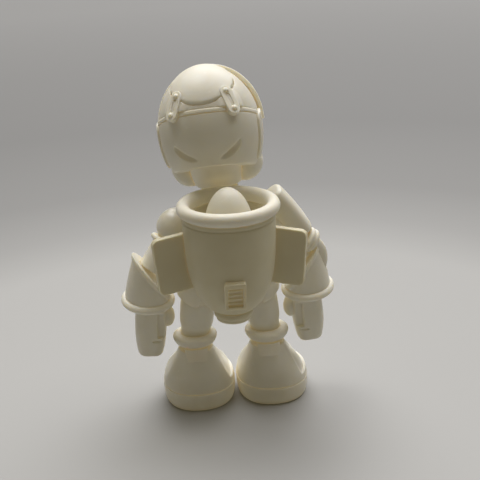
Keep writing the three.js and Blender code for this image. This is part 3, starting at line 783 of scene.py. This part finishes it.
def build_jetpack():
    def put(name, shape, material=RESIN):
        publish("look_" + name, moved(shape, POD_X, POD_Y), name, material)

    wall = [(0, POD_BOTTOM)] + [tuple(point) for point in smooth_through(POD_OUTLINE, 5)] + [
        (18.35, 95.7), (18.2, 95.95), (18.2, 96.35), (18.4, 96.6), (18.4, POD_RIM), (POD_INNER, POD_RIM),
        (POD_INNER - 0.3, POD_FLOOR), (0, POD_FLOOR),
    ]
    wall = turned(wall, 0.3, 160)
    pegs = [bar((side * 7, 4 + COLUMN_Y - POD_Y, 80), (side * 7, -14, 80), 2) for side in (1, -1)]
    put("jetpack_pod", join(wall, *pegs), RESIN_SHADED)
    put("jetpack_lip", jetpack_lip())
    side = [tuple(point) for point in smooth_through(CONE_OUTLINE, 5)]
    put("intake_cone", turned([(0, POD_FLOOR + 0.3)] + side + [(0, 108.1)], 0.2, 112))
    put("nozzle_ring", turned([
        (0, 54.8), (4.6, 54.8), (4.8, 52.8), (6.6, 52.8), (7.1, 53.4), (7.1, 54.3), (7.7, 54.8),
        (7.9, 55.8), (7.6, 57.05), (0, 57.05),
    ], 0.35, 112), RESIN_SHADED)
    put("vent_frame", vent_frame(), RESIN_SHADED)
    put("vent_louvre", vent_louvre(), RESIN_SHADED)
    for word, side in SIDES.items():
        put(f"fin_{word}", sided(fin(FIN_SWEEP[word]), side), RESIN_SHADED)


# ---- arms ----
ARM_TOP = SHOULDER + np.array([3.4, 0.4, -6.2])
ELBOW = np.array([32.4, 1.4 + COLUMN_Y, 66])
ARM_RADIUS = 6.3
WRIST_RADIUS, WRIST_TUBE = 9.9, 1.7
WRIST_PEG, WRIST_PEG_HEIGHT = 3.2, 7.5
MOUTH_IN, MOUTH_FORWARD, MOUTH_HEIGHT, MOUTH_LIP = 0.86, 0.15, 14.6, 2.4
HAND_LENGTH = {"left": 26.4, "right": 24.6}
HOSE_RADIUS = 3.1
HOSE_PATH = [(33.6, 3.6, 76.2), (37.2, 3, 73.6), (39.8, 1.8, 69.4), (40.4, 0.8, 65), (39.8, 0.2, 61)]
HOSE_IN_PLACE = [(x, y + COLUMN_Y, z) for x, y, z in HOSE_PATH]


def turn_to(direction):
    return Vector((0, 0, 1)).rotation_difference(Vector(direction).normalized()).to_matrix().to_4x4()


FOREARM_PLACE = Matrix.Translation(joint_place("wrist_left_turn")) @ turn_to(joint_axis("wrist_left_turn"))


def arm_bar(grow=0.0):
    return bar(ARM_TOP, ELBOW, ARM_RADIUS + grow, ARM_RADIUS - 0.4 + grow)


def mouth_block(height, up):
    """Everything above (up 1) or below (up -1) the gauntlet's slanted mouth at a height over the wrist."""
    block = moved(box(BIG, BIG, BIG), z=up * BIG / 2)
    return moved(spun(spun(block, "Y", -MOUTH_IN), "X", MOUTH_FORWARD), z=height)


def gauntlet():
    """A flared cone with a slanted mouth and a soft lip round it."""
    profile = [(0, -0.6), (9.2, -0.6), (9.9, 2.2), (9.3, 7), (8, 14), (6.6, 20.5), (6, 24.5), (0, 24.5)]
    cone = turned(profile, 1.6, 112)
    fat = turned([(0, 2)] + [(radius + 0.55, z) for radius, z in profile[2:7]] + [(0, 24.5)], 1, 112)
    lip = cut(fat, mouth_block(MOUTH_HEIGHT - MOUTH_LIP, -1))
    peg_bore = bar((0, 0, -3), (0, 0, WRIST_PEG_HEIGHT + 0.2), WRIST_PEG + 0.2)
    shape = placed(cut(join(cone, lip), mouth_block(MOUTH_HEIGHT, 1), peg_bore), FOREARM_PLACE)
    return cut(shape, arm_bar(0.1))


def hand(length):
    """A closed fist: a flat-ended palm, a thumb across the curl of the fingers, and the finger lines."""
    palm = loft([
        [-length, 5.4, 6.4], [6.4 - length, 6.5, 7.5], [-12, 6.9, 7.9], [-6, 6.6, 7.4], [-1.2, 6.2, 6.8],
    ], 3.4, fine=5, rim=0.9)
    palm = moved(palm, -1.2)
    thumb = moved(spun(ball(3.2, 4.2, 5.2), "Y", 0.12), -8.4, 0.5, -8)
    thumb_bed = moved(box(3.4, 5, 12), -5.6, 8.2, -10)
    crease = moved(box(9, 3, 1.0), -6.4, 8.2, -17.6)
    knuckle_lines = [moved(box(20, 0.9, 1.8), 0, 3.6 * step, -length) for step in (-1, 0, 1)]
    finger_lines = [moved(box(18, 4, 0.9), 0, -8.6, 3.4 * step - length) for step in (1, 2, 3)]
    peg = bar((0, 0, -3), (0, 0, WRIST_PEG_HEIGHT), WRIST_PEG)
    fist = cut(palm, thumb_bed, crease, *knuckle_lines, *finger_lines)
    return softened(join(fist, thumb, peg), 0.32, 4)


def shoulder_plate():
    slab = loft([
        [-11.8, 3.9, 5.9], [-11, 4.6, 6.6], [-4, 5.2, 7.2], [5, 5, 7], [10.4, 4.4, 6.4], [11.2, 3.9, 5.9],
    ], 3.2, fine=5, rim=0.6)
    return moved(spun(slab, "Y", -0.62), 26.4, SHOULDER[1] + 3, 87.8)


def hose_ferrule(path):
    """Two rings side by side round the start of the hose."""
    start = Vector(path[0])
    along = (Vector(path[1]) - start).normalized()
    ring = placed(torus(HOSE_RADIUS + 0.9, 1.4, 60, 20), turn_to(along))
    return join(*(moved(ring, *(start + along * way)) for way in (0.9, 2.9)))


def build_arms():
    for word, side in SIDES.items():
        dome = moved(ball(SHOULDER_RADIUS, around=80, high=56), *SHOULDER)
        peg = bar(SHOULDER, (PEG_REACH, SHOULDER[1], SHOULDER[2]), PEG_RADIUS)
        shoulder = softened(join(dome, peg), 0.35, 3)
        publish(f"look_shoulder_ball_{word}", sided(shoulder, side), f"shoulder_ball_{word}", RESIN_GLOSS)
        publish(f"look_upper_arm_{word}", sided(softened(arm_bar(), 0.35, 3), side), f"upper_arm_{word}")
        sleeve = gauntlet()
        if side < 0:
            hose = swept(HOSE_IN_PLACE, [HOSE_RADIUS + 0.1] * len(HOSE_PATH))
            sleeve = cut(sleeve, hose)
        publish(f"look_gauntlet_{word}", sided(softened(sleeve, 0.3, 5), side), f"gauntlet_{word}")
        cuff = placed(torus(WRIST_RADIUS, WRIST_TUBE), FOREARM_PLACE)
        publish(f"look_cuff_ring_{word}", sided(cuff, side), f"cuff_ring_{word}")
        fist = placed(hand(HAND_LENGTH[word]), FOREARM_PLACE)
        publish(f"look_hand_{word}", sided(fist, side), f"hand_{word}")

    down = Vector(ELBOW - ARM_TOP).normalized()
    ring = placed(torus(6.9, 1.2), Matrix.Translation(Vector(ARM_TOP) + down * 1.2) @ turn_to(-down))
    publish("look_shoulder_ring_left", ring, "shoulder_ring_left")
    plate_shape = softened(shoulder_plate(), 0.35, 5)
    publish("look_shoulder_plate_right", sided(plate_shape, -1), "shoulder_plate_right")
    hose = swept(HOSE_IN_PLACE, [HOSE_RADIUS] * len(HOSE_PATH))
    publish("look_elbow_hose_right", sided(softened(hose, 0.3, 3), -1), "elbow_hose_right")
    ferrule = softened(hose_ferrule(HOSE_IN_PLACE), 0.25, 3)
    publish("look_hose_ferrule_right", sided(ferrule, -1), "hose_ferrule_right")


# ---- legs ----
SOLE_TOP, BOOT_TOP = 8.6, 28.5
BOOT_X, BOOT_Y, BOOT_HALF_WIDTH, BOOT_HALF_LENGTH, BOOT_SIDESTEP = 16.6, -8.2, 16.1, 18.6, -1.6
ANKLE_X, ANKLE_Y, ANKLE_Z = 15.8, 0.9, 32.9
BOOT_ROWS = [
    (0, 0.9), (0.8, 0.945), (2.4, 0.975), (5, 0.995), (SOLE_TOP, 1), (12.4, 0.96), (17, 0.845), (21, 0.69),
    (24.5, 0.56), (27, 0.495), (BOOT_TOP, 0.47), (40, 0.46),
]
LEG_LEAN = -math.atan2(ANKLE_X - HIP[0], HIP[2] - ANKLE_Z)
LEG_LENGTH = math.hypot(ANKLE_X - HIP[0], HIP[2] - ANKLE_Z)
TRUNK_RADIUS = 9.8
PANEL_X, PANEL_Z, PANEL_SLANT, PANEL_DEPTH = 9.2, 24, 0.42, 1.4
TAB_PROUD = 1.3


def boot(side, bottom, top, grow=0.0):
    """One boot between two heights; it narrows and moves under the ankle as it rises."""
    heights, scales = zip(*BOOT_ROWS)
    levels = []
    for z in np.linspace(bottom, top, int((top - bottom) * 2.2) + 2):
        scale = np.interp(z, heights, scales)
        narrowing = max(0.0, (1 - scale) / 0.53) if z > SOLE_TOP else 0.0
        levels.append([
            z, BOOT_HALF_WIDTH * scale + grow, BOOT_HALF_LENGTH * (scale - 0.06 * narrowing) + grow,
            side * (BOOT_X + (ANKLE_X - BOOT_X) * narrowing) + BOOT_SIDESTEP * (1 - narrowing),
            BOOT_Y + COLUMN_Y + (ANKLE_Y - BOOT_Y) * narrowing ** 0.8,
        ])
    return loft(levels, 2.3, fine=1, around=96)


def side_panels(side):
    """The sunken panels on both flanks of a boot, outside the folds that run down from the ankle."""
    skin = cut(boot(side, SOLE_TOP + 3.2, 26.6, 4), boot(side, SOLE_TOP + 2, 28, -PANEL_DEPTH))
    panels = []
    for out in (1, -1):
        outside = moved(box(BIG, BIG * 2, BIG * 2), out * BIG / 2)
        outside = spun(outside, "Y", -out * PANEL_SLANT)
        outside = moved(outside, side * ANKLE_X + out * PANEL_X, 0, PANEL_Z)
        panels.append(common(skin, outside))
    return panels


def thigh(grow=0.0):
    sections = [
        [-LEG_LENGTH - 0.4, 6.2, 6.4], [-LEG_LENGTH + 4, 6.4, 6.8], [-16, 7.2, 7.8], [-8, 7.6, 8.4],
        [-5 + grow, 7, 7.8],
    ]
    shape = loft([[z, half_x + grow, half_y + grow] for z, half_x, half_y in sections], 2.1)
    return moved(spun(shape, "Y", LEG_LEAN), HIP[0], HIP[1] + 1, HIP[2])


def hip_trunk():
    """The trunk leg's soft top: a drum on the hip's axis that runs down into a slanted hem."""
    drum = turned([
        (0, PELVIS_HALF + 0.3), (TRUNK_RADIUS - 0.6, PELVIS_HALF + 0.3), (TRUNK_RADIUS, PELVIS_HALF + 1),
        (TRUNK_RADIUS, 13), (TRUNK_RADIUS - 1.6, 18), (TRUNK_RADIUS - 5, 20.6), (0, 21.4),
    ], 1.5)
    drum = moved(spun(drum, "Y", math.pi / 2), 0, HIP[1], HIP[2])
    leg = loft([[-15, 8.2, 8.4], [-8, 8.6, 9.4], [0, 8.6, TRUNK_RADIUS - 0.3]], 2.2)
    leg = moved(spun(leg, "Y", LEG_LEAN), HIP[0] + 1, HIP[1], HIP[2])
    hem = moved(spun(moved(box(BIG, BIG, BIG), z=-BIG / 2), "Y", -0.55), HIP[0] + 1.6, COLUMN_Y, 48.6)
    inner = moved(box(BIG, BIG, BIG), -BIG / 2 + PELVIS_HALF + 0.3, COLUMN_Y, 40)
    body = softened(cut(join(drum, leg), hem, inner, thigh(SEAM)), 0.35, 5)
    return join(body, bar((0.4, HIP[1], HIP[2]), (8, HIP[1], HIP[2]), PEG_RADIUS))


def heel_tab(side):
    """A small raised plate on the boot's back, just under the ankle cuff."""
    tab = prism([(5.2, 3), (-5.2, 3), (-4.1, -3.8), (4.1, -3.8)], 8)
    tab = moved(spun(tab, "X", 0.5), side * ANKLE_X, 14.6 - 8 + COLUMN_Y, 27.6)
    tab = common(tab, boot(side, SOLE_TOP + 0.3, BOOT_TOP + 2, TAB_PROUD))
    return cut(tab, boot(side, SOLE_TOP, BOOT_TOP + 3, 0.1))


def ankle_cuff():
    """A fat rolled collar, a little wider at its top."""
    collar = turned([
        (0, 30.7), (8.0, 30.7), (9.0, 31.8), (9.7, 33.6), (9.5, 34.8), (8.4, 35.2), (0, 35.2),
    ], 0.7, 112)
    return cut(moved(collar, ANKLE_X, ANKLE_Y + COLUMN_Y), thigh(0.1))


def build_legs():
    for word, side in SIDES.items():
        publish(f"look_hip_trunk_{word}", sided(hip_trunk(), side), f"hip_trunk_{word}")
        bare_thigh = cut(sided(thigh(), side), boot(side, SOLE_TOP, BOOT_TOP + 0.2, 0.2))
        publish(f"look_thigh_{word}", softened(bare_thigh, 0.35, 3), f"thigh_{word}")
        cuff = sided(softened(ankle_cuff(), 0.3, 4), side)
        publish(f"look_ankle_cuff_{word}", cuff, f"ankle_cuff_{word}")
        upper = cut(boot(side, SOLE_TOP + SEAM, BOOT_TOP), *side_panels(side))
        publish(f"look_boot_upper_{word}", softened(upper, 0.33, 4), f"boot_upper_{word}")
        publish(f"look_heel_tab_{word}", softened(heel_tab(side), 0.15, 2), f"heel_tab_{word}")
        sole = softened(boot(side, 0, SOLE_TOP, 0.15), 0.35, 4)
        publish(f"look_boot_sole_{word}", sole, f"boot_sole_{word}")


# ---- stage ----
# Pairs of a distance from the figure, in metres, and the painted light on the paper there: a painted pool
# of light round the figure, darkest about half a metre out.
FLOOR_PAINTED_LIGHT = [
    (0.0, 0.355), (0.2, 0.345), (0.26, 0.265), (0.34, 0.205), (0.55, 0.17), (0.9, 0.183), (1.6, 0.22),
]
FLOOR_REACH = 2.0
SKY_STRENGTH, SKY_SPREAD, SKY_COLOUR = 3.8, math.radians(76), (1.0, 1.0, 1.05)
SKY_WAY = Vector((0.15, 0.44, -1))
FILL_STRENGTH, FILL_COLOUR = 0.17, (1.0, 0.87, 0.56, 1)


def paper(value):
    return (value, value * 0.99, value * 0.94, 1)


def build_floor():
    """One large pale floor with a painted pool of light: its tone falls off far behind the figure, the same
    on every side.
    """
    size = 12.0
    rows = [[(-size, -size, z), (size, -size, z), (size, size, z), (-size, size, z)] for z in (-0.02, 0)]
    floor = new_object("floor", grid(rows))
    material = bpy.data.materials.new("floor_paper")
    material.use_nodes = True
    tree = material.node_tree
    shader = tree.nodes["Principled BSDF"]
    coords = node(tree, "ShaderNodeTexCoord").outputs["Object"]
    distance = node(tree, "ShaderNodeVectorMath", operation="LENGTH")
    tree.links.new(coords, distance.inputs[0])
    share = node(tree, "ShaderNodeMath", operation="DIVIDE")
    share.inputs[1].default_value = FLOOR_REACH
    tree.links.new(distance.outputs["Value"], share.inputs[0])
    tone = node(tree, "ShaderNodeValToRGB")
    elements = tone.color_ramp.elements
    for element, (reach, value) in zip(elements, (FLOOR_PAINTED_LIGHT[0], FLOOR_PAINTED_LIGHT[-1])):
        element.position = reach / FLOOR_REACH
        element.color = paper(value)
    for reach, value in FLOOR_PAINTED_LIGHT[1:-1]:
        elements.new(reach / FLOOR_REACH).color = paper(value)
    tree.links.new(share.outputs["Value"], tone.inputs["Fac"])
    tree.links.new(tone.outputs["Color"], shader.inputs["Base Color"])
    shader.inputs["Roughness"].default_value = 0.65
    floor.data.materials.append(material)


def area_light(name, place, target, size, power, colour):
    data = bpy.data.lights.new(name, "AREA")
    data.shape = "RECTANGLE"
    data.size, data.size_y = size
    data.energy = power
    data.color = colour
    lamp = bpy.data.objects.new(name, data)
    bpy.context.scene.collection.objects.link(lamp)
    lamp.location = place
    lamp.rotation_euler = (Vector(target) - Vector(place)).to_track_quat("-Z", "Y").to_euler()


def build_lights():
    """A wide sky light from above the figure's front, a softbox for the highlights, and a warm dim fill."""
    sky = bpy.data.lights.new("sky", "SUN")
    sky.energy = SKY_STRENGTH
    sky.angle = SKY_SPREAD
    sky.color = SKY_COLOUR
    lamp = bpy.data.objects.new("sky", sky)
    bpy.context.scene.collection.objects.link(lamp)
    lamp.rotation_euler = SKY_WAY.to_track_quat("-Z", "Y").to_euler()
    area_light("softbox_top", (0.12, -0.12, 0.62), (0, 0, 0.1), (0.16, 0.16), 0.5, (1.0, 0.99, 0.96))
    world = bpy.data.worlds.new("studio")
    bpy.context.scene.world = world
    world.use_nodes = True
    background = world.node_tree.nodes["Background"]
    background.inputs["Color"].default_value = FILL_COLOUR
    background.inputs["Strength"].default_value = FILL_STRENGTH


# ---- camera ----
CAMERA_YAW, CAMERA_PITCH, CAMERA_ROLL = (math.radians(angle) for angle in (4.39, 20.46, 2.83))
CAMERA_TARGET = Vector((-6.11, COLUMN_Y, 76.01)) * MM
CAMERA_DISTANCE = 0.3955
CAMERA_LENS = 69.67


def build_camera():
    """Behind the figure, a little to one side and above, rolled by a few degrees."""
    back = Vector((
        math.sin(CAMERA_YAW) * math.cos(CAMERA_PITCH),
        math.cos(CAMERA_YAW) * math.cos(CAMERA_PITCH),
        math.sin(CAMERA_PITCH),
    ))
    right = Vector((0, 0, 1)).cross(back).normalized()
    up = back.cross(right)
    across = math.cos(CAMERA_ROLL) * right - math.sin(CAMERA_ROLL) * up
    upward = math.sin(CAMERA_ROLL) * right + math.cos(CAMERA_ROLL) * up
    data = bpy.data.cameras.new("camera")
    data.lens = CAMERA_LENS
    data.sensor_width = 36
    data.clip_start = 0.01
    camera = bpy.data.objects.new("camera", data)
    bpy.context.scene.collection.objects.link(camera)
    place = CAMERA_TARGET + back * CAMERA_DISTANCE
    camera.matrix_world = Matrix((
        (across.x, upward.x, back.x, place.x),
        (across.y, upward.y, back.y, place.y),
        (across.z, upward.z, back.z, place.z),
        (0, 0, 0, 1),
    ))
    bpy.context.scene.camera = camera


build_camera()
build_floor()
build_lights()
build_head()
build_torso()
build_jetpack()
build_arms()
build_legs()
bpy.context.scene.view_settings.view_transform = "Standard"
